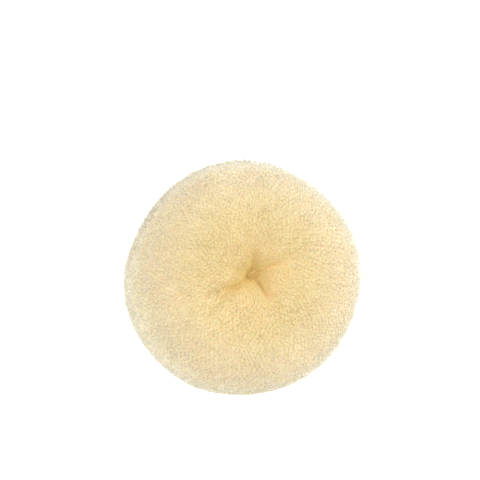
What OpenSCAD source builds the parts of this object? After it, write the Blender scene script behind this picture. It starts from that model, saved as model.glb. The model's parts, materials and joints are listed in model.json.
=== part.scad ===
// Hair donut: a soft ring of springy nylon net, rolled up on itself like a sock.
// The roll is as thick as the hole allows, so its inner side is squeezed into
// lips that meet around a small puckered hole, with folds running out from it.
// +Z is the hole's axis, the ring rests on the plane z = 0, and the origin is
// the middle of the ring's footprint. Lengths are in millimetres.

/* [Ring] */
// Widest diameter of the ring
ring_d = 90; // [70:1:120]
// Height of the ring as it rests on a table
ring_h = 41; // [32:1:56]
// Radial width of the band that the soft underside presses flat
rest_w = 11; // [4:1:16]
// Fullness of the roll's outer side, where 2 is an ellipse and more is squarer
outer_fullness = 2.15; // [2:0.05:2.6]
// Fullness of the squeezed inner side, towards the hole
lip_fullness = 3.2; // [2.2:0.1:3.6]
// Height of the widest place above the table
belly_h = 20; // [16:0.5:23]

/* [Hole] */
// Clear diameter between the lips at the hole's throat
throat_d = 6; // [5:0.2:10]
// Height of the throat above the table
throat_h = 22; // [18:0.5:25]
// How far the hole sits from the middle of the ring, towards the lean azimuth
hole_offset = 1.7; // [0:0.1:4]

/* [Folds] */
// How far the longest fold reaches from the hole's axis
fold_reach = 13.5; // [10:0.5:17]
// Depth of the deepest crease in the top
crease_depth = 7; // [2:0.5:9]
// Half width of a crease, from its bottom line to its shoulder
crease_w = 2.6; // [1.6:0.2:4]
// What is left of the slits' reach down at the throat, where the lips pinch them
pinch = 0.35; // [0:0.05:1]
// Size of the folds in the underside, as a share of those in the top
under_share = 0.6; // [0.2:0.1:1]

/* [Mesh] */
// Number of points around the roll's section
rows = 44; // [32:4:52]
// Columns in each lip besides those for its width
lip_columns = 10; // [8:1:14]
// Degrees of a lip that one further column covers
column_span = 7; // [6:0.5:9]

/* [Hidden] */

// The plan's uneven outline, read round the ring from +X.
// Columns: azimuth, radius as a share of half the diameter, height as a share of ring_h
OUTLINE = [
    [ 20, 1.004, 0.975],
    [ 52, 0.966, 0.990],
    [ 88, 0.984, 0.985],
    [118, 0.982, 0.990],
    [146, 0.958, 1.004],
    [194, 1.010, 0.980],
    [228, 0.992, 0.975],
    [282, 0.958, 1.000],
    [326, 0.974, 0.990]
];
SHARE_R = 1;
SHARE_H = 2;
// How far round the ring each row of OUTLINE is felt, in degrees
OUTLINE_SPREAD = 24;
// Azimuth of the hole from the middle of the ring
HOLE_AZIMUTH = 20;

// The folds around the hole, from the one beside +X onwards.
// Columns: azimuth at the outer end, degrees by which it swings on its way in,
// slit's reach as a share of fold_reach, slit's half spread in degrees,
// crease depth as a share of crease_depth, crease's reach as a share of fold_reach
FOLDS = [
    [ 22, 18, 0.58, 11, 0.40, 1.10],
    [102,  0, 0.34, 13, 0.50, 0.88],
    [208,  4, 1.00,  8, 0.85, 1.08],
    [289,  8, 0.58, 11, 0.70, 0.95]
];
SWING = 1;
SLIT_REACH = 2;
SLIT_SPREAD = 3;
CREASE_DEPTH = 4;
CREASE_REACH = 5;

// Share of even spacing in a lip's columns, the rest being drawn in to its folds
EVEN = 0.45;
// Share of a crease's reach over which it keeps its whole depth
FULL_CREASE = 0.35;
// How far round the hole each fold's swing is felt, in degrees
SWING_SPREAD = 32;

// Turn from azimuth b to azimuth a, from -180 to 180
function turn(a, b) = (a - b + 540) % 360 - 180;
// A smooth hump, 1 at x = 0 and almost nothing past x = 2
function bell(x) = exp(-x * x);
// A smooth step from 0 to 1 as x runs from 0 to 1
function ease(x) = let (t = max(0, min(1, x))) t * t * (3 - 2 * t);
// x raised to a power with its sign kept
function signed_pow(x, power) = sign(x) * pow(abs(x), power);
function sum(v) = v * [for (x = v) 1];

// A column of OUTLINE at azimuth a, blended from the rows near it
function outline(a, column) =
    let (near = [for (row = OUTLINE) bell(turn(a, row[0]) / OUTLINE_SPREAD)])
    near * [for (row = OUTLINE) row[column]] / sum(near);

// The ring's outer radius as seen from the hole's axis
function outer_r(a) = ring_d / 2 * outline(a, SHARE_R) - hole_offset * cos(a - HOLE_AZIMUTH);
// The hole's radius, small at a lip and with a slit along each fold. rise is the height
// above the throat or below it, from 0 at the throat to 1 at the top and -1 at the table
function hole_r(a, rise) =
    let (share = pinch + (1 - pinch) * ease(abs(rise)) * (rise < 0 ? under_share : 1))
    throat_d / 2 + share * sum([
        for (fold = FOLDS)
            max(0, fold_reach * fold[SLIT_REACH] - throat_d / 2)
                * bell(pow(turn(a, fold[0]) / fold[SLIT_SPREAD], 2))
    ]);
// How deep the creases are at azimuth a, r from the axis
function crease(a, r) = crease_depth * sum([
    for (fold = FOLDS)
        let (across = r * sin(min(90, abs(turn(a, fold[0])))),
             along = r / (fold_reach * fold[CREASE_REACH]))
        fold[CREASE_DEPTH] * bell(across / crease_w)
            * (1 - ease((along - FULL_CREASE) / (1 - FULL_CREASE)))
]);

// How far the columns swing round at azimuth a, r from the axis, to follow the folds
function swing(a, r) =
    max(0, 1 - r / fold_reach)
        * sum([for (fold = FOLDS) fold[SWING] * bell(turn(a, fold[0]) / SWING_SPREAD)]);

// How far the unpressed roll would bulge below the table to leave a flat of rest_w
half_roll = (ring_d - throat_d) / 4;
press = belly_h * (pow(1 - pow(rest_w / 2 / half_roll, outer_fullness), -1 / outer_fullness) - 1);

// The point at angle v round the roll's section, where 0 is outermost and 90 on top
function roll_point(a, v) =
    let (outside = cos(v) > 0,
         fullness = outside ? outer_fullness : lip_fullness,
         middle = outside ? belly_h : throat_h,
         rise = signed_pow(sin(v), 2 / fullness),
         inner = hole_r(a, outside ? sign(rise) : rise),
         outer = outer_r(a),
         r = (inner + outer) / 2 + (outer - inner) / 2 * signed_pow(cos(v), 2 / fullness),
         z = rise > 0
             ? middle + rise * (ring_h * outline(a, SHARE_H) - middle - crease(a, r))
             : middle + rise * (middle + press - under_share * crease(a, r)),
         azimuth = a + swing(a, r))
    [r * cos(azimuth), r * sin(azimuth), max(0, z)];

// Azimuths of the columns in the lip between fold i and the next
function lip_azimuths(i) =
    let (start = FOLDS[i][0],
         next = FOLDS[(i + 1) % len(FOLDS)][0],
         span = (next - start + 360) % 360,
         count = lip_columns + round(span / column_span))
    [for (k = [0 : count - 1])
        let (t = k / count)
        start + span * (EVEN * t + (1 - EVEN) * ease(t))];

azimuths = [for (i = [0 : len(FOLDS) - 1]) each lip_azimuths(i)];
points = [for (a = azimuths) for (j = [0 : rows - 1]) roll_point(a, 360 * j / rows)];
xs = [for (p = points) p[0]];
ys = [for (p = points) p[1]];

// The ring as one closed surface: columns around the hole, rows around the roll
module rolled_mesh() {
    columns = len(azimuths);
    faces = [
        for (i = [0 : columns - 1], j = [0 : rows - 1])
            let (here = i * rows,
                 next = (i + 1) % columns * rows,
                 up = (j + 1) % rows)
            each [[here + j, here + up, next + up], [here + j, next + up, next + j]]
    ];
    color([0.93, 0.84, 0.62])
        translate([-(max(xs) + min(xs)) / 2, -(max(ys) + min(ys)) / 2, 0])
            polyhedron(points = points, faces = faces, convexity = 4);
}

rolled_mesh();
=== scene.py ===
# %% [markdown]
# # A hair donut
#
# This lesson dresses one soft object: the ring that shapes a hair bun. The real ring is a long
# tube of springy nylon net, rolled up on itself like the cuff of a sock, until it is as thick as
# its own hole allows. The eye sees three things in it: a fat, slightly lumpy ring, a small
# puckered hole with folds running out of it, and a surface that is nothing but fine crimped
# thread, with light coming through the outermost rolls.
#
# The ring's shape comes from a solid that is loaded as a fixed frame. Everything that is made
# here lies on that solid or just inside it, so no size is chosen twice.

# %% The solid that is dressed, and the sizes read from it
import json
import math

import bmesh
import bpy
import numpy as np
from mathutils import Matrix, Vector, noise
from mathutils.bvhtree import BVHTree


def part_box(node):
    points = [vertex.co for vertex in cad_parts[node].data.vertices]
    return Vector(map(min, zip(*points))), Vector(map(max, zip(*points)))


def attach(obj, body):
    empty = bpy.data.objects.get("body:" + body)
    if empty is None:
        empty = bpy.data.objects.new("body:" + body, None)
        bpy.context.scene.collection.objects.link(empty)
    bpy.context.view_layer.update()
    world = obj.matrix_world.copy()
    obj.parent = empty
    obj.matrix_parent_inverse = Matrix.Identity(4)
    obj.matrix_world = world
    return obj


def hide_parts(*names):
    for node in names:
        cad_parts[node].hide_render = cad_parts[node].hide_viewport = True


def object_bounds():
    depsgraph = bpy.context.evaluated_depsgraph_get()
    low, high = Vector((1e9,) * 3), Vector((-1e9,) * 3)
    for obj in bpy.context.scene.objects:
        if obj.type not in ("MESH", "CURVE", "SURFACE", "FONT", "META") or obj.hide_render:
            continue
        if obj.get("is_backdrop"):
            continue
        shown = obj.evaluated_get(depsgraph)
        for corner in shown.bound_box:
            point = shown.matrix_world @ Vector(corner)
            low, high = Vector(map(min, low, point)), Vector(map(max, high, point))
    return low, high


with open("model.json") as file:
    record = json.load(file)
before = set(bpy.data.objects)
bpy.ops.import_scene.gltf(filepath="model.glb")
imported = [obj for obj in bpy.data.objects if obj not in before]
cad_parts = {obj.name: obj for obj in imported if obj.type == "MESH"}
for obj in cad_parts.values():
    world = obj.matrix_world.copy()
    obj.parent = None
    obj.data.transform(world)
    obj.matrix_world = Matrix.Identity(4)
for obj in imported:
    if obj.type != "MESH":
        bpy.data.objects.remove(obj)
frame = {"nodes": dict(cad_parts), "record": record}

MM = 0.001
TAU = 2 * math.pi
NODE = "rolled_mesh"

cad_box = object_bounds()
low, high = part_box(NODE)
ring_size = high - low
ring_r = ring_size.x / 2
hole = next(Vector(m["pos_m"]) for m in frame["record"]["mounts"] if m["name"] == "hole")
print("ring", [round(side / MM, 1) for side in ring_size], "mm, hole at", [round(c / MM, 1) for c in hole])

# %% [markdown]
# ## The camera
#
# The ring was photographed from almost straight above, through a long lens. A camera can be set
# by hand, or by an object that it tracks. Here two angles describe it: how far the hole's axis
# leans away from the line of sight, and which way it leans in the picture. From them follow the
# three axes of the camera, so either angle can be changed alone. The picture is 480 pixels
# square, and the ring's middle and its scale in it are known in pixels, so the camera is aimed
# past the ring's middle by that many pixels, with no lens shift.

# %% Camera
PICTURE_PX = 480
TILT = math.radians(15)              # between the hole's axis and the line of sight
LEAN = math.radians(24)              # the way the hole's top leans, from the picture's right
DISTANCE = 600 * MM                  # from the ring's middle to the lens
PIXEL = 90 / 240 * MM                # what one pixel covers at the ring's middle
MIDDLE_PX = Vector((243.6, 277.4))   # the ring's middle in the picture, from its top left corner
SENSOR = 36                          # the camera's own sensor width

back = Vector((-math.sin(TILT) * math.cos(LEAN), -math.sin(TILT) * math.sin(LEAN), math.cos(TILT)))
axis_in_view = (Vector((0, 0, 1)) - back * back.z).normalized()
across = back.cross(axis_in_view)
up = axis_in_view * math.sin(LEAN) + across * math.cos(LEAN)
right = up.cross(back)

middle = Vector((0, 0, ring_size.z / 2))
off_centre = Vector((PICTURE_PX / 2, PICTURE_PX / 2)) - MIDDLE_PX
aim = middle + right * off_centre.x * PIXEL - up * off_centre.y * PIXEL
turned_to_view = Matrix((right, up, back)).transposed().to_4x4()
camera = bpy.data.objects.new("camera", bpy.data.cameras.new("camera"))
camera.data.sensor_width = SENSOR
camera.data.lens = SENSOR * DISTANCE / (PICTURE_PX * PIXEL)
camera.matrix_world = Matrix.Translation(aim + back * DISTANCE) @ turned_to_view
bpy.context.scene.collection.objects.link(camera)
bpy.context.scene.camera = camera
print("camera: lens", round(camera.data.lens), "mm, elevation", round(math.degrees(math.asin(back.z))))

# %% [markdown]
# ## Helpers for materials
#
# Colours are picked as the hex values that a screen shows. Blender's shaders work in linear
# light, so one function turns a hex value into that. Another adds a shader node, sets its
# properties and sockets by name and links it up, so that each material below reads as a short
# list of what it is made of. A third starts a material with nothing in it but its output.

# %% Helpers for colours and shader nodes
def linear(hex_colour):
    """An sRGB hex colour as the linear RGBA that shaders take."""
    parts = [int(hex_colour[i:i + 2], 16) / 255 for i in (1, 3, 5)]
    return (*[p / 12.92 if p < 0.04045 else ((p + 0.055) / 1.055) ** 2.4 for p in parts], 1)


def add(tree, kind, links=None, **settings):
    """Adds a node. links maps its sockets to what feeds them; settings are properties or sockets."""
    node = tree.nodes.new(kind)
    for name, value in settings.items():
        if hasattr(node, name):
            setattr(node, name, value)
        else:
            node.inputs[name.replace("_", " ")].default_value = value
    for socket, source in (links or {}).items():
        tree.links.new(source, node.inputs[socket])
    return node


def new_material(name):
    """An empty node material, and its output node."""
    material = bpy.data.materials.new(name)
    material.use_nodes = True
    material.node_tree.nodes.clear()
    return material, material.node_tree.nodes.new("ShaderNodeOutputMaterial")


print("mid grey on a screen is", round(linear("#808080")[0], 3), "in linear light")

# %% [markdown]
# ## The light table
#
# The ring lies on a white surface in even, white light, with hardly a shadow. A curved white
# backdrop and several lamps would do that too. One big plane is simpler: like a photographer's
# light table it gives off some light of its own, which lifts the ring's shadow, shines through
# the outer rolls of net and warms the hole from below.

# %% Table
TABLE_SIDE = 6
TABLE_GLOW = 1.0                     # share of full white that the table gives off by itself

bm = bmesh.new()
bmesh.ops.create_grid(bm, x_segments=1, y_segments=1, size=TABLE_SIDE / 2)
table_mesh = bpy.data.meshes.new("light_table")
bm.to_mesh(table_mesh)
bm.free()
table = bpy.data.objects.new("light_table", table_mesh)
bpy.context.scene.collection.objects.link(table)
table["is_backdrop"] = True

acrylic, output = new_material("white acrylic")
tree = acrylic.node_tree
white = linear("#F7F7F5")
shader = add(tree, "ShaderNodeBsdfPrincipled", Base_Color=white, Roughness=0.6,
             Emission_Color=white, Emission_Strength=TABLE_GLOW)
tree.links.new(shader.outputs["BSDF"], output.inputs["Surface"])
table_mesh.materials.append(acrylic)
print("table:", TABLE_SIDE, "m wide")

# %% [markdown]
# The world lights the ring evenly from all sides, as a white room does. One soft box at the
# upper right gives it its gentle roundness.

# %% World and soft box
WORLD_LIGHT = 0.99
SOFT_BOX_SIDE = 0.5
SOFT_BOX_WATTS = 7.0
SOFT_BOX_AT = Vector((0.6, 0.45, 0.75))   # along the picture's right, its up and towards the lens

world = bpy.data.worlds.new("white room")
bpy.context.scene.world = world
world.use_nodes = True
background = world.node_tree.nodes["Background"]
background.inputs["Color"].default_value = (1, 1, 1, 1)
background.inputs["Strength"].default_value = WORLD_LIGHT

box = bpy.data.lights.new("soft_box", "AREA")
box.shape = "SQUARE"
box.size = SOFT_BOX_SIDE
box.energy = SOFT_BOX_WATTS
soft_box = bpy.data.objects.new("soft_box", box)
from_middle = right * SOFT_BOX_AT.x + up * SOFT_BOX_AT.y + back * SOFT_BOX_AT.z
facing_middle = from_middle.to_track_quat("Z", "Y").to_matrix().to_4x4()
soft_box.matrix_world = Matrix.Translation(middle + from_middle) @ facing_middle
bpy.context.scene.collection.objects.link(soft_box)
bpy.context.scene.view_settings.view_transform = "Standard"
print("soft box:", round(from_middle.length, 2), "m from the ring")

# %% [markdown]
# ## Where the roll is squeezed
#
# Round the hole the roll has no room. Soft net swells into the throat, threads are pressed flat
# in the folds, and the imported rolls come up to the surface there. Weights could be painted on
# the mesh for this, but shapes and materials need the same ones, so they are worked out. All of
# it fades with the distance from the hole's axis and with the height above or below the throat.
# A region is given by two distances, where it begins to fade and where it ends, and by four
# heights: where it begins, where it is whole, to where it stays whole, and where it ends.

# %% Regions of the squeeze
THROAT = ((6 * MM, 9 * MM), (-16 * MM, -11 * MM, -1 * MM, 5 * MM))        # is drawn shut
LIPS = ((9 * MM, 14 * MM), (-16 * MM, -11 * MM, 10 * MM, 17 * MM))        # swell
FOLDS = ((11 * MM, 17 * MM), (-16 * MM, -11 * MM, 11 * MM, 16 * MM))      # hold the threads
FOLD_SHADE_AND_GLOW = ((8 * MM, 14 * MM), (-16 * MM, -12 * MM, 7 * MM, 14 * MM))   # is painted deeper and darker on the threads, and glows warmer in the packed rolls
FLANKS = ((9 * MM, 13 * MM), (2 * MM, 6 * MM, 10 * MM, 14 * MM))          # shade each other, so they are painted darker
GLOW = ((11 * MM, 19 * MM), (-16 * MM, -12 * MM, 11 * MM, 19 * MM))       # painted glow, for light that comes through the net
BELLY = (3 * MM, 17 * MM)            # heights over the table between which the rim's painted pallor and glow grow
SQUEEZE = 0.6                        # share of their freedom that threads lose in the folds
# How far the loops spring out over the ring. Columns: y as a share of its radius, looseness
LOOSE_SIDES = [(-1, 0.75), (0, 1), (0.7, 1.1), (1, 1.4)]


def inside(points, region):
    """The share of a region that points feel, from 0 outside it to 1."""
    reaches, rises = region
    from_throat = np.array(points) - hole
    outwards = np.interp(np.hypot(from_throat[:, 0], from_throat[:, 1]), reaches, (1, 0))
    return outwards * np.interp(from_throat[:, 2], rises, (0, 1, 1, 0))


def freedom(points):
    """How free threads are to spring out, which is little in the squeezed folds."""
    return 1 - SQUEEZE * inside(points, FOLDS)


def looseness(points):
    """The same freedom, a little less on the near side of the ring and more on the far one."""
    return freedom(points) * np.interp(np.array(points)[:, 1] / ring_r, *zip(*LOOSE_SIDES))


print("the throat is drawn shut up to", THROAT[0][0] / MM, "mm from the hole's axis")

# %% [markdown]
# The materials read the same regions, so the next function builds one out of shader nodes. Two
# more do the rim's painted light: light comes through where the roll is thin and stretched at its
# outside, and less so the nearer it gets to the table, so the rim is painted paler and glows there.

# %% Regions as masks for materials
def mask(tree, place, region):
    """The share of a region as a socket of a material."""
    (near, far), (bottom, whole_from, whole_to, top) = region
    from_throat = add(tree, "ShaderNodeVectorMath", {0: place}, operation="SUBTRACT")
    from_throat.inputs[1].default_value = hole
    rise = add(tree, "ShaderNodeSeparateXYZ", {"Vector": from_throat.outputs["Vector"]}).outputs["Z"]
    in_plan = add(tree, "ShaderNodeVectorMath", {0: from_throat.outputs["Vector"]}, operation="MULTIPLY")
    in_plan.inputs[1].default_value = 1, 1, 0
    reach = add(tree, "ShaderNodeVectorMath", {0: in_plan.outputs["Vector"]}, operation="LENGTH")
    outwards = add(tree, "ShaderNodeMapRange", {"Value": reach.outputs["Value"]},
                   From_Min=near, From_Max=far, To_Min=1.0, To_Max=0.0)
    above = add(tree, "ShaderNodeMapRange", {"Value": rise}, From_Min=bottom, From_Max=whole_from)
    below = add(tree, "ShaderNodeMapRange", {"Value": rise},
                From_Min=whole_to, From_Max=top, To_Min=1.0, To_Max=0.0)
    between = add(tree, "ShaderNodeMath", {0: above.outputs["Result"], 1: below.outputs["Result"]},
                  operation="MULTIPLY")
    both = add(tree, "ShaderNodeMath", {0: outwards.outputs["Result"], 1: between.outputs["Value"]},
               operation="MULTIPLY")
    return both.outputs["Value"]


def raised(tree, place, least):
    """A share that falls from 1 on the roll's upper side to the least share under its belly."""
    height = add(tree, "ShaderNodeSeparateXYZ", {"Vector": place}).outputs["Z"]
    bottom, top = BELLY
    return add(tree, "ShaderNodeMapRange", {"Value": height}, From_Min=bottom, From_Max=top,
               To_Min=least, To_Max=1.0).outputs["Result"]


def rim_share(tree, place, reach, start, end):
    """How much a place belongs to the rim, which gets painted pallor and glow, and which starts and ends
    at shares of the ring's radius.
    """
    outer = add(tree, "ShaderNodeMapRange", {"Value": reach},
                From_Min=start * ring_r, From_Max=end * ring_r)
    rim = add(tree, "ShaderNodeMath", {0: outer.outputs["Result"], 1: raised(tree, place, 0.0)},
              operation="MULTIPLY")
    return rim.outputs["Value"]


print("the rim's pallor grows from", BELLY[0] / MM, "to", BELLY[1] / MM, "mm over the table")

# %% [markdown]
# ## Nylon thread
#
# The net is knitted from one fine nylon thread, dyed a pale blonde. Nylon is a clear plastic
# that a little dye makes milky: light goes into the thread and comes out on the far side, and
# its smooth skin adds a weak, broad gleam. A hair shader or a mix of translucent and glossy
# would do, but the principled shader with some subsurface light can be exported. Each thread
# alone looks almost white. The honey colour of the ring builds up where light passes from
# thread to thread, so the thread is given a pale colour and the many layers do the rest.
#
# First comes the thread's colour from the hole outwards: its pale dye, with painted light in it.
# It is honey where the rolls are deep, a painted deepening for light that has passed through
# many threads, and white where they are so thin that the table shines through, a painted pallor.

# %% Thread, its dye and painted light from the hole outwards
# Columns: reach from the hole as a share of PALE_END, colour of the dye with its painted light
DYE_AND_PAINTED_LIGHT = [(0.08, "#FFE6A8"), (0.45, "#FBECAE"), (0.85, "#FCF4E2"), (0.96, "#FCFAF2"), (1.0, "#FCFAF6")]
PALE_END = 1.02 * ring_r             # where the painted pallor is whitest
PAINTED_LIGHT_SHIFT = Vector((1.3, 1.4, 0)) * MM   # brings the painted pallor in sooner at the picture's upper right, the side the soft box lights
UNDER_SHARE = 0.6                    # what is left of the way to the pale end under the belly, so the painted pallor is weaker near the table

nylon, output = new_material("dyed nylon thread")
tree = nylon.node_tree
place = add(tree, "ShaderNodeTexCoord").outputs["Object"]
plan = add(tree, "ShaderNodeMapping", {"Vector": place})
plan.inputs["Location"].default_value = PAINTED_LIGHT_SHIFT
plan.inputs["Scale"].default_value = 1, 1, 0
reach = add(tree, "ShaderNodeVectorMath", {0: plan.outputs["Vector"]}, operation="LENGTH").outputs["Value"]
share = add(tree, "ShaderNodeMapRange", {"Value": reach},
            From_Min=0.0, From_Max=PALE_END, To_Min=0.0, To_Max=1.0)
painted_pallor_share = add(tree, "ShaderNodeMath", {0: share.outputs["Result"], 1: raised(tree, place, UNDER_SHARE)},
                operation="MULTIPLY")
colour = add(tree, "ShaderNodeValToRGB", {"Fac": painted_pallor_share.outputs["Value"]})
stops = colour.color_ramp.elements
stops[0].position = DYE_AND_PAINTED_LIGHT[0][0]
for position, _ in DYE_AND_PAINTED_LIGHT[1:-1]:
    stops.new(position)
for stop, (_, hex_colour) in zip(stops, DYE_AND_PAINTED_LIGHT):
    stop.color = linear(hex_colour)
print("dye:", len(stops), "colours from the hole to the rim")

# %% [markdown]
# Crimped thread turns on itself, so it lies in shade wherever it dips under its neighbours. The
# finest crimps are too small to model, so their shade is painted: a noise as fine as a pixel of
# the picture darkens the thread in spots, a little coarser than the real crimps, because anything
# finer wouldn't show. Loops carry a tone of their own, an attribute that is 0 on the net. On most
# loops it runs from 0 to 1 and makes the large ones a shade darker. Past 1 it marks the fringe on
# the far edge, which stands against the white and is painted grey, as the shade of thread seen
# against the light.

# %% Thread, the painted shade of its finest crimps, and the tone of the loops
SPECKLE = 0.34 * MM                  # size of the finest crimps, as coarse as it has to be to show
CRIMP_SHADE_FROM, CRIMP_SHADE_TO = 0.44, 0.62      # values of the noise between which the painted shade of a dipping crimp sets in
THREAD_RIM = (0.88, 1.0)             # shares of the ring's radius where the rim starts and ends
# tone past which the fringe is painted grey in full, as its shade
FRINGE_SHADE_TONE = 1.1

# A noise paints the shade of crimps too small to model, paler at the rim.
spots = add(tree, "ShaderNodeTexNoise", {"Vector": place}, Scale=1 / SPECKLE, Detail=1.0)
crimp_shade = add(tree, "ShaderNodeMapRange", {"Value": spots.outputs["Fac"]},
           From_Min=CRIMP_SHADE_FROM, From_Max=CRIMP_SHADE_TO, To_Min=0.0, To_Max=1.0)
rim = rim_share(tree, place, reach, *THREAD_RIM)
crimp_shade_colour = add(tree, "ShaderNodeMix", {"Factor": rim}, data_type="RGBA")
crimp_shade_colour.inputs[6].default_value = linear("#C6C4A6")
crimp_shade_colour.inputs[7].default_value = linear("#E2DED4")
dye_and_crimp_shade = add(tree, "ShaderNodeMix",
           {"Factor": crimp_shade.outputs["Result"], 6: colour.outputs["Color"], 7: crimp_shade_colour.outputs[2]},
           data_type="RGBA", blend_type="MULTIPLY")
# The loops' tone darkens the large ones a shade and paints the fringe grey, as its shade.
tone = add(tree, "ShaderNodeAttribute", attribute_name="tone").outputs["Fac"]
fringe_shade = add(tree, "ShaderNodeMapRange", {"Value": tone}, From_Min=1.0, From_Max=FRINGE_SHADE_TONE)
tone_and_fringe_shade = add(tree, "ShaderNodeMix", {"Factor": fringe_shade.outputs["Result"]}, data_type="RGBA")
tone_and_fringe_shade.inputs[6].default_value = linear("#E6E4D2")
tone_and_fringe_shade.inputs[7].default_value = linear("#CCC6CC")
toned = add(tree, "ShaderNodeMix", {"Factor": tone, 6: dye_and_crimp_shade.outputs[2], 7: tone_and_fringe_shade.outputs[2]},
            data_type="RGBA", blend_type="MULTIPLY")
print("speckle:", round(PIXEL / SPECKLE, 1), "crimps to a pixel of the picture")

# %% [markdown]
# Light that has passed through many threads is deeper in colour, so the folds get a warm tint,
# painted on the threads as shade. A render follows it only so many times from thread to thread,
# and loses the rest. A faint painted glow in the folds and at the rim stands for what is lost. It
# is weak enough that the light on the threads still makes the shape.

# %% Thread, its painted fold shade, its painted glow and its shader
# strength of the threads' painted glow in the folds and at the rim
THREAD_GLOW = 0.19

# Painted shade: in the folds the threads are darker and deeper in colour.
painted_fold_shade = mask(tree, place, FOLD_SHADE_AND_GLOW)
shaded = add(tree, "ShaderNodeMix", {"Factor": painted_fold_shade, 6: toned.outputs[2]},
             data_type="RGBA", blend_type="MULTIPLY")
shaded.inputs[7].default_value = linear("#F8ECC8")
rim_glow = add(tree, "ShaderNodeMix", {"Factor": rim}, data_type="RGBA")
rim_glow.inputs[6].default_value = linear("#000000")
rim_glow.inputs[7].default_value = linear("#888681")
glow = add(tree, "ShaderNodeMix", {"Factor": mask(tree, place, GLOW), 6: rim_glow.outputs[2]},
           data_type="RGBA")
glow.inputs[7].default_value = linear("#F8E6A8")
shader = add(tree, "ShaderNodeBsdfPrincipled",
             {"Base Color": shaded.outputs[2], "Emission Color": glow.outputs[2]},
             Roughness=0.4, IOR=1.53, Emission_Strength=THREAD_GLOW,
             Subsurface_Weight=0.4, Subsurface_Radius=(1.0, 0.8, 0.5), Subsurface_Scale=0.3 * MM)
tree.links.new(shader.outputs["BSDF"], output.inputs["Surface"])
print(nylon.name, "has", len(tree.nodes), "nodes")

# %% [markdown]
# ## The imported rolls
#
# Under the outermost layers the rolls lie so close together that the eye can't part them: they
# read as one soft, deep mass, more saturated than the surface. Modelling every roll would cost
# millions of threads that nobody sees, and a volume can't be exported. So one closed piece
# stands for them. Its material draws the threads it is made of as the walls of small cells,
# and lets light travel several millimetres through it, which makes it soft. The slits' walls
# face each other so closely that they are painted darker, as their shade. The mass also glows
# faintly all over, painted light for what a render loses between threads: warmer in the folds
# and greyer at the rim.

# %% Material of the imported rolls
CELL = 1.4 * MM                      # from one stitch of the net to the next
WALL = 0.16                          # how far into a cell its wall of thread reaches
CORE_RIM = (0.84, 0.98)              # shares of the ring's radius where the rim starts and ends
# strength of the packed rolls' painted glow
CORE_GLOW = 0.36
SOFTNESS = 9 * MM                    # how far light travels through the mass

packed, output = new_material("packed nylon net")
tree = packed.node_tree
place = add(tree, "ShaderNodeTexCoord").outputs["Object"]
cells = add(tree, "ShaderNodeTexVoronoi", {"Vector": place},
            feature="DISTANCE_TO_EDGE", Scale=1 / CELL, Randomness=1.0)
thread = add(tree, "ShaderNodeMapRange", {"Value": cells.outputs["Distance"]},
             From_Min=0.0, From_Max=WALL, To_Min=1.0, To_Max=0.0)
colour = add(tree, "ShaderNodeMix", {"Factor": thread.outputs["Result"]}, data_type="RGBA")
colour.inputs[6].default_value = linear("#FCEABE")
colour.inputs[7].default_value = linear("#FDF1D2")
bump = add(tree, "ShaderNodeBump", {"Height": thread.outputs["Result"]}, Strength=0.6, Distance=0.3 * MM)
# Painted shade where the slits' walls face each other.
shaded = add(tree, "ShaderNodeMix", {"Factor": mask(tree, place, FLANKS), 6: colour.outputs[2]},
             data_type="RGBA", blend_type="MULTIPLY")
shaded.inputs[7].default_value = linear("#CCBE88")
plan = add(tree, "ShaderNodeVectorMath", {0: place}, operation="MULTIPLY")
plan.inputs[1].default_value = 1, 1, 0
reach = add(tree, "ShaderNodeVectorMath", {0: plan.outputs["Vector"]}, operation="LENGTH").outputs["Value"]
rim_glow = add(tree, "ShaderNodeMix", {"Factor": rim_share(tree, place, reach, *CORE_RIM)},
               data_type="RGBA")
rim_glow.inputs[6].default_value = linear("#E6B8A8")
rim_glow.inputs[7].default_value = linear("#B4A890")
# In the folds the packed rolls' painted glow is warmer.
glow = add(tree, "ShaderNodeMix", {"Factor": mask(tree, place, FOLD_SHADE_AND_GLOW), 6: rim_glow.outputs[2]},
           data_type="RGBA")
glow.inputs[7].default_value = linear("#EEDAA0")
shader = add(tree, "ShaderNodeBsdfPrincipled",
             {"Base Color": shaded.outputs[2], "Normal": bump.outputs["Normal"],
              "Emission Color": glow.outputs[2]},
             Roughness=0.8, Emission_Strength=CORE_GLOW,
             Subsurface_Weight=1.0, Subsurface_Radius=(1.0, 0.75, 0.4), Subsurface_Scale=SOFTNESS)
tree.links.new(shader.outputs["BSDF"], output.inputs["Surface"])
print(packed.name, "has", len(tree.nodes), "nodes")

# %% [markdown]
# The piece is a copy of the solid, drawn in by about two millimetres and smoothed. On the real
# ring the lips round the hole press against each other until they leave no gap, and one of
# them is fuller than the rest. A cloth simulation could find such a shape, but not on purpose
# this one. So the points of the lips move out along their normals, more on the fuller side,
# and those round the throat are drawn together to the place where the lips meet.

# %% How the lips swell
LIP_SWELL = 1.5 * MM                 # how far the soft lips swell towards each other
FULLER = 0.7                         # share by which one lip swells more and the one opposite less
FULLER_AT = math.radians(-15)        # azimuth of the lip that swells more
PINCH = hole + Vector((-1.2, -0.1, 0)) * MM   # where the lips close the throat
CLOSED = 0.93                        # share of the throat's width that they close


def swell(bm):
    """Lets the lips swell, and draws the points round the throat towards the pinch."""
    bm.normal_update()
    fuller = Vector((math.cos(FULLER_AT), math.sin(FULLER_AT)))
    for vert, share in zip(bm.verts, inside([vert.co for vert in bm.verts], LIPS)):
        turned = (vert.co - hole).xy.normalized().dot(fuller)
        vert.co += vert.normal * LIP_SWELL * share * (1 + FULLER * turned)
    for vert, share in zip(bm.verts, inside([vert.co for vert in bm.verts], THROAT)):
        from_pinch = vert.co - PINCH
        from_pinch.z = 0
        vert.co -= from_pinch * CLOSED * share


print("the lips meet", round((PINCH - hole).length / MM, 1), "mm from the hole's axis")

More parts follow.
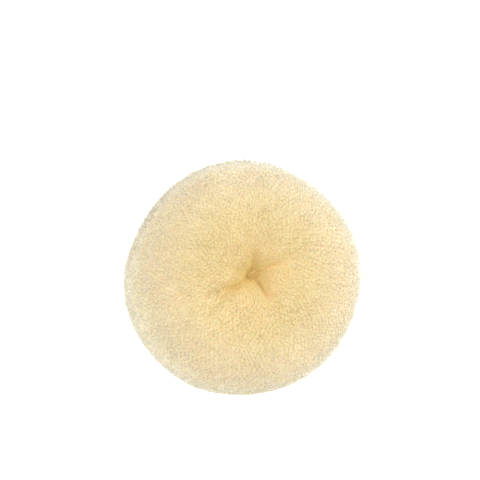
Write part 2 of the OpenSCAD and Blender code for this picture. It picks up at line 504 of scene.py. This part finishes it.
# %% [markdown]
# The swollen surface is kept twice: as a tree that rays can hit, from which the net gets its
# shape, and as a skin that the loops grow on. Attributes on the skin say where loops are loose
# and where they may stand. The far edge is the band of the roll that the camera sees as its
# outline, where longer loops stand out against the white.

# %% The skin that thread lies on
CORE_DEPTH = 2.2 * MM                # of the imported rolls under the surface, times its freedom
DEPTH_FADE = (0.8, 0.96)             # shares of the radius between which they come closer to it
RIM_SHARE = 0.6                      # what is left of the depth at the rim, where net is stretched
FAR_SIDE = ((0.1, 0.4), (0, 1))      # y as a share of the radius, and how much is the far side
EDGE_SLOPES = ((0.1, 0.18, 0.3, 0.38), (0, 1, 1, 0))   # height of the normal, and how much is edge

bm = bmesh.new()
bm.from_mesh(frame["nodes"][NODE].data)
bmesh.ops.remove_doubles(bm, verts=bm.verts, dist=MM / 1000)
bm.normal_update()
places = [vert.co.copy() for vert in bm.verts]
reaches = [vert.co.xy.length / ring_r for vert in bm.verts]
depths = CORE_DEPTH * freedom(places) * np.interp(reaches, DEPTH_FADE, (1, RIM_SHARE))
drawn_in = [vert.co - vert.normal * depth for vert, depth in zip(bm.verts, depths)]
swell(bm)
surface = BVHTree.FromBMesh(bm)
skin_mesh = bpy.data.meshes.new("skin")
bm.to_mesh(skin_mesh)
far_side = np.interp([place.y / ring_r for place in places], *FAR_SIDE)
edge = np.interp([vert.normal.z for vert in bm.verts], *EDGE_SLOPES)
weights = {"looseness": looseness(places), "everywhere": np.ones(len(places)), "far_edge": far_side * edge}
for name, values in weights.items():
    skin_mesh.attributes.new(name, "FLOAT", "POINT").data.foreach_set("value", values)
print("skin:", len(skin_mesh.polygons), "faces, weights", list(weights))

# %% The piece of packed rolls
def link_piece(name, mesh, material):
    """Puts a mesh in the scene as a piece of the ring."""
    mesh.materials.clear()
    mesh.materials.append(material)
    piece = bpy.data.objects.new(name, mesh)
    bpy.context.scene.collection.objects.link(piece)
    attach(piece, "root")
    return piece


for vert, place in zip(bm.verts, drawn_in):
    vert.co = place
swell(bm)
bmesh.ops.smooth_vert(bm, verts=bm.verts, factor=0.5, use_axis_x=True, use_axis_y=True, use_axis_z=True)
for face in bm.faces:
    face.smooth = True
mesh = bpy.data.meshes.new("packed_rolls")
bm.to_mesh(mesh)
bm.free()
core = link_piece("packed_rolls", mesh, packed)
core.modifiers.new("smooth", "SUBSURF").levels = 1
core.modifiers["smooth"].render_levels = 1
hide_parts(NODE)
print("packed rolls:", len(mesh.polygons), "faces before they are smoothed")

# %% [markdown]
# ## A map of the ring's surface
#
# Threads have to follow the surface round two ways at once: round the hole, and round the roll.
# A Shrinkwrap modifier would pull them onto it, but bunch them up in the folds. So the surface
# is first read into a map. From a circle inside the roll, rays go out in every direction round
# the roll, and where each meets the skin is one point of the map. The points of each section
# are then spread evenly along its outline. The circle runs round the place where the lips meet,
# so that every ray finds its own lip. A blurred copy of the map gives smooth directions outwards.

# %% Reading the map
AZIMUTHS = 360                       # sections of the roll, round the hole
SHARES = 200                         # points of each section, round the roll
RAYS = 240
CIRCLE = (0.54, 0.49)                # the circle inside the roll, as shares of radius and height
BLUR = (4, 3)                        # points to either side, round the hole and round the roll

roll_r = ring_r * CIRCLE[0]
roll_z = ring_size.z * CIRCLE[1]


def section(azimuth):
    """The outline of the roll at one azimuth, from its outermost point over the top, spread evenly."""
    outwards = Vector((math.cos(azimuth), math.sin(azimuth), 0))
    start = Vector((PINCH.x, PINCH.y, roll_z)) + outwards * roll_r
    turns = [TAU * j / RAYS for j in range(RAYS)]
    rays = [outwards * math.cos(t) + Vector((0, 0, math.sin(t))) for t in turns]
    hits = np.array([surface.ray_cast(start, ray)[0] for ray in rays])
    closed = np.vstack([hits, hits[:1]])
    along = np.concatenate([[0], np.cumsum(np.linalg.norm(np.diff(closed, axis=0), axis=1))])
    even = np.linspace(0, along[-1], SHARES, endpoint=False)
    return np.stack([np.interp(even, along, closed[:, k]) for k in range(3)], axis=1)


def blurred(grid, reach, axis):
    """A grid that closes on itself, averaged over its neighbours along one axis."""
    return sum(np.roll(grid, step, axis) for step in range(-reach, reach + 1)) / (2 * reach + 1)


skin = np.array([section(TAU * i / AZIMUTHS) for i in range(AZIMUTHS)])
soft_skin = blurred(blurred(skin, BLUR[0], 0), BLUR[1], 1)
round_hole = np.roll(soft_skin, -1, 0) - np.roll(soft_skin, 1, 0)
round_roll = np.roll(soft_skin, -1, 1) - np.roll(soft_skin, 1, 1)
outward = np.cross(round_hole, round_roll)
outward /= np.linalg.norm(outward, axis=2, keepdims=True)
first_round = np.linalg.norm(np.diff(skin[0], axis=0), axis=1).sum()
print("map:", skin.shape, "roll is", round(first_round / MM), "mm round")

# %% Reading between the points of the map
def on_map(grid, azimuth, share):
    """Values of a map at fractions of a turn round the hole and round the roll."""
    i, j = azimuth % 1 * AZIMUTHS, share % 1 * SHARES
    i0, j0 = np.floor(i).astype(int), np.floor(j).astype(int)
    fi, fj = (i - i0)[:, None], (j - j0)[:, None]
    i0, j0, i1, j1 = i0 % AZIMUTHS, j0 % SHARES, (i0 + 1) % AZIMUTHS, (j0 + 1) % SHARES
    low_side = grid[i0, j0] * (1 - fj) + grid[i0, j1] * fj
    high_side = grid[i1, j0] * (1 - fj) + grid[i1, j1] * fj
    return low_side * (1 - fi) + high_side * fi


def lay(azimuth, share, depth):
    """Points of the ring's surface, sunk by a depth."""
    return on_map(skin, azimuth, share) - on_map(outward, azimuth, share) * depth


top_point = lay(np.array([0.25]), np.array([0.25]), 0)[0]
print("a quarter round both ways lies", round(top_point[2] / MM, 1), "mm over the table")

# %% [markdown]
# ## Knitting the net
#
# The surface of the real ring is the net itself, and its soft grain and fuzzy outline come from
# thread that stands free. A texture on a smooth ring would look like printed paper, so the
# thread is modelled, in three layers, with gaps through which the next one shows.
#
# A layer of net is knitted flat and then rolled on, as the real one is. Flat, it is a tube of
# courses: each course is one circle, made by bmesh.ops.create_circle with four corners to a
# stitch, and the circles are stacked one above the other. Corners go up and down two by two,
# and the next course does the opposite, so that neighbours touch in short bars and leave
# honeycomb cells between them. Then every corner moves to its place on the map of the ring.
#
# Crimped thread never lies flat. One noise pushes the corners about in every direction, and a
# second one moves them a little further in and out of the layer. Both are weaker where the
# folds hold the thread. They are fields in space, so threads that touch are pushed together and
# still touch.

# %% Sizes of the net
THREAD_R = 0.1 * MM                  # of the crimped thread, with the air in it
STITCH = 1.75 * MM                   # along a course, where the net is widest
COURSE = 1.5 * MM                    # from one course to the next
CORNERS = 4                          # of a stitch
BAND = 12                            # stitches are gained and dropped this many at a time
FEWEST = 24
# Layers, from the outermost. Columns: depth under the surface in mm, stitch size as a share
LAYERS = [(0.3, 1.0), (0.85, 1.1), (1.5, 1.02)]
CRIMP = 0.4 * MM                     # how much further crimps go in and out of the layer
SHOVE = 0.75 * MM                    # how far they push the thread about in every direction
CRIMP_CELL = 0.6 * MM                # from one crimp to the next
DRIFT = 1.5 * MM                     # how far whole courses wander
DRIFT_CELL = 14 * MM
# Steps through the noise that keep the layers' drifts and crimps, and a crimp's lift, apart
DRIFT_STEP = Vector((0, 0, 9))
CRIMP_STEP = Vector((0, 0, 50))
LIFT_STEP = Vector((500, 0, 0))
NOISE_SEED = 1                       # without one the net would differ from run to run

noise.seed_set(NOISE_SEED)
roll_round = np.linalg.norm(np.diff(skin, axis=1, append=skin[:, :1]), axis=2).sum(1).mean()
print("net:", round(roll_round / COURSE), "courses of thread in the outermost layer")

# %% Knitting a tube of courses flat
def course_length(share, depth):
    """How long a course is, once it lies on the ring."""
    line = lay(np.arange(AZIMUTHS) / AZIMUTHS, np.full(AZIMUTHS, share), depth)
    return np.linalg.norm(np.diff(line, axis=0, append=line[:1]), axis=1).sum()


def knit_flat(name, stitches):
    """A tube of courses as closed threads without thickness, and its corners as an array."""
    bm = bmesh.new()
    for course, count in enumerate(stitches):
        bmesh.ops.create_circle(bm, segments=int(CORNERS * count), radius=1,
                                matrix=Matrix.Translation((0, 0, course)))
    mesh = bpy.data.meshes.new(name)
    bm.to_mesh(mesh)
    bm.free()
    corners = np.empty(len(mesh.vertices) * 3)
    mesh.vertices.foreach_get("co", corners)
    return mesh, corners.reshape(-1, 3)


print("a course over the top is", round(course_length(0.25, 0) / MM), "mm long")

# %% Rolling a layer on
def knit_layer(number, depth, scale):
    """One layer of net as closed threads without thickness, on the ring."""
    rng = np.random.default_rng(number)
    turn_shift, course_shift = rng.random(2)
    courses = 2 * round(roll_round / (COURSE * scale) / 2)
    shares = (np.arange(courses) + 0.5 + course_shift) / courses
    lengths = np.array([course_length(share, depth) for share in shares])
    stitches = np.maximum(FEWEST, BAND * np.round(lengths / (STITCH * scale) / BAND)).astype(int)
    mesh, flat = knit_flat(f"net_layer_{number}", stitches)

    turn = np.arctan2(flat[:, 1], flat[:, 0]) / TAU % 1
    course = np.round(flat[:, 2]).astype(int)
    corner = np.round(turn * CORNERS * stitches[course]).astype(int) % CORNERS
    side = np.where(corner < CORNERS / 2, 1, -1) * np.where(course % 2, 1, -1)
    wave = 0.5 - THREAD_R / (COURSE * scale)
    turn = turn + turn_shift
    share = (course + 0.5 + course_shift + side * wave) / courses
    points = lay(turn, share, depth)
    wanders = [Vector(p) / DRIFT_CELL + DRIFT_STEP * number for p in points]
    drift = np.array([noise.noise_vector(wander) for wander in wanders])
    turn = turn + drift[:, 0] * DRIFT / (TAU * ring_r)
    share = share + drift[:, 1] * DRIFT / roll_round
    points = lay(turn, share, depth * freedom(points)[:, None])
    out = on_map(outward, turn, share)
    crimps = [Vector(p) / CRIMP_CELL + CRIMP_STEP * number for p in points]
    push = np.array([noise.noise_vector(crimp) for crimp in crimps])
    lift = np.array([noise.noise(crimp + LIFT_STEP) for crimp in crimps])
    points += (push * SHOVE + out * (lift * CRIMP)[:, None]) * freedom(points)[:, None]
    points[:, 2] = np.maximum(points[:, 2], THREAD_R)
    mesh.vertices.foreach_set("co", points.ravel())
    return mesh

# %% [markdown]
# A thread gets its thickness from Geometry Nodes: each closed line of edges becomes a curve,
# and a small triangle is swept along it. Three sides are enough for a thread that is thinner
# than a pixel, and keep each layer under 200,000 triangles. The result is kept as a plain mesh.

# %% Giving the threads their thickness
def new_group(name):
    """A geometry node group, and the socket of the geometry that comes in."""
    group = bpy.data.node_groups.new(name, "GeometryNodeTree")
    group.interface.new_socket("Geometry", in_out="INPUT", socket_type="NodeSocketGeometry")
    group.interface.new_socket("Geometry", in_out="OUTPUT", socket_type="NodeSocketGeometry")
    return group, add(group, "NodeGroupInput").outputs["Geometry"]


def sweep(group, curves):
    """Ends a node group by sweeping a thin triangle along its curves."""
    profile = add(group, "GeometryNodeCurvePrimitiveCircle", Resolution=3, Radius=THREAD_R)
    tubes = add(group, "GeometryNodeCurveToMesh",
                {"Curve": curves, "Profile Curve": profile.outputs["Curve"]})
    smooth = add(group, "GeometryNodeSetShadeSmooth", {"Geometry": tubes.outputs["Mesh"]})
    add(group, "NodeGroupOutput", {"Geometry": smooth.outputs["Geometry"]})


def run_nodes(name, mesh, group):
    """The mesh that a node group makes out of another mesh, kept above the table."""
    source = bpy.data.objects.new(name, mesh)
    bpy.context.scene.collection.objects.link(source)
    source.modifiers.new("nodes", "NODES").node_group = group
    made = source.evaluated_get(bpy.context.evaluated_depsgraph_get())
    result = bpy.data.meshes.new_from_object(made)
    bpy.data.objects.remove(source)
    for vert in result.vertices:
        vert.co.z = max(vert.co.z, 0)
    result.name = name
    return result


def add_thread_piece(name, mesh, group):
    """Makes a piece of nylon thread and says how many triangles it has."""
    piece = link_piece(name, run_nodes(name, mesh, group), nylon)
    triangles = sum(len(p.vertices) - 2 for p in piece.data.polygons)
    print(name, "has", triangles, "triangles")
    return triangles

# %% Three layers of net
threads, lines = new_group("thread")
sweep(threads, add(threads, "GeometryNodeMeshToCurve", {"Mesh": lines}).outputs["Curve"])
total = 0
for number, (depth, scale) in enumerate(LAYERS, start=1):
    total += add_thread_piece(f"net_layer_{number}", knit_layer(number, depth * MM, scale), threads)

# %% [markdown]
# ## Sprung loops
#
# Where the roll is stretched over its outside, single stitches spring out of the net. They give
# the ring its soft, even grain and a fringe against the light. Hair particles could do it, but
# nodes show every step. Each loop is one short arc of thread. Geometry Nodes spreads points
# over the skin with an even distance between them, puts an arc on each, turned and tilted at
# random, and sweeps the thread along all of them at once.
#
# There are three sets: one with a few large loops, one of small loops between them, and the
# fringe of larger loops on the far edge, painted greyer as the shade of thread against the light.
# Chance decides the size of each loop, raised to a power so that large ones are few, and the
# same chance is its tone.

# %% Sizes of the loops
LOOP_R = 0.45 * MM                   # of a loop, before its set and chance scale it
FEW_LARGE = 7                        # the higher, the fewer large ones
TILTS = (30, 150)                    # degrees, where 90 stands straight up
ARC_FROM, ARC_SWEEP = -30, 240       # degrees
# Sets of loops. Columns: distance from one to the next in mm, smallest and largest as a share
# of LOOP_R, least tone, weight of the skin that says where they are
LOOPS = [
    (1.12, 0.5, 3.5, 0, "everywhere"),
    (1.06, 0.4, 1.2, 0, "everywhere"),
    (1.3, 2.1, 3.6, FRINGE_SHADE_TONE, "far_edge"),
]
print("largest loops are", [round(2 * row[2] * LOOP_R / MM, 1) for row in LOOPS], "mm wide")

# %% Spreading the loops over the ring
def loop_group(number, apart, smallest, largest, least_tone, where):
    """A node group that spreads a set of loops over a surface."""
    group, surface_in = new_group(f"loops {number}")
    weight = add(group, "GeometryNodeInputNamedAttribute", data_type="FLOAT")
    weight.inputs["Name"].default_value = where
    spots = add(group, "GeometryNodeDistributePointsOnFaces",
                {"Mesh": surface_in, "Density Factor": weight.outputs["Attribute"]},
                distribute_method="POISSON", Distance_Min=apart, Density_Max=1e7, Seed=4 * number)
    arc = add(group, "GeometryNodeCurveArc", Resolution=4, Radius=LOOP_R,
              Start_Angle=math.radians(ARC_FROM), Sweep_Angle=math.radians(ARC_SWEEP))
    tilt = add(group, "FunctionNodeRandomValue", data_type="FLOAT_VECTOR", Seed=4 * number + 1)
    tilt.inputs[0].default_value = math.radians(TILTS[0]), 0, 0
    tilt.inputs[1].default_value = math.radians(TILTS[1]), 0, TAU
    tilted = add(group, "FunctionNodeEulerToRotation", {"Euler": tilt.outputs[0]})
    standing = add(group, "FunctionNodeRotateRotation",
                   {"Rotation": spots.outputs["Rotation"], "Rotate By": tilted.outputs["Rotation"]},
                   rotation_space="LOCAL")
    chance = add(group, "FunctionNodeRandomValue", data_type="FLOAT", Seed=4 * number + 2)
    rarely = add(group, "ShaderNodeMath", {0: chance.outputs[1]}, operation="POWER")
    rarely.inputs[1].default_value = FEW_LARGE
    size = add(group, "ShaderNodeMapRange", {"Value": rarely.outputs["Value"]},
               To_Min=smallest, To_Max=largest)
    free = add(group, "GeometryNodeInputNamedAttribute", data_type="FLOAT")
    free.inputs["Name"].default_value = "looseness"
    sized = add(group, "ShaderNodeMath", {0: size.outputs["Result"], 1: free.outputs["Attribute"]},
                operation="MULTIPLY")
    placed = add(group, "GeometryNodeInstanceOnPoints",
                 {"Points": spots.outputs["Points"], "Instance": arc.outputs["Curve"],
                  "Rotation": standing.outputs["Rotation"], "Scale": sized.outputs["Value"]})
    tone = add(group, "ShaderNodeMath", {0: chance.outputs[1]}, operation="ADD")
    tone.inputs[1].default_value = least_tone
    toned = add(group, "GeometryNodeStoreNamedAttribute",
                {"Geometry": placed.outputs["Instances"], "Value": tone.outputs["Value"]},
                data_type="FLOAT", domain="INSTANCE", Name="tone")
    curves = add(group, "GeometryNodeRealizeInstances", {"Geometry": toned.outputs["Geometry"]})
    sweep(group, curves.outputs["Geometry"])
    return group

# %% Three sets of loops
for number, (apart, smallest, largest, least_tone, where) in enumerate(LOOPS, start=1):
    group = loop_group(number, apart * MM, smallest, largest, least_tone, where)
    total += add_thread_piece(f"sprung_loops_{number}", skin_mesh, group)
print("all thread:", total, "triangles")

# %% [markdown]
# ## Measuring the size
#
# The dressed ring may stand a little proud of the solid, as net does, and not more. This
# shows by how much.

# %% Sizes before and after
dressed_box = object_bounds()
proud = [round((there - here) / MM, 2) for here, there in zip(cad_box[1], dressed_box[1])]
print("the dressed ring's upper corner lies past the solid's by", proud, "mm")
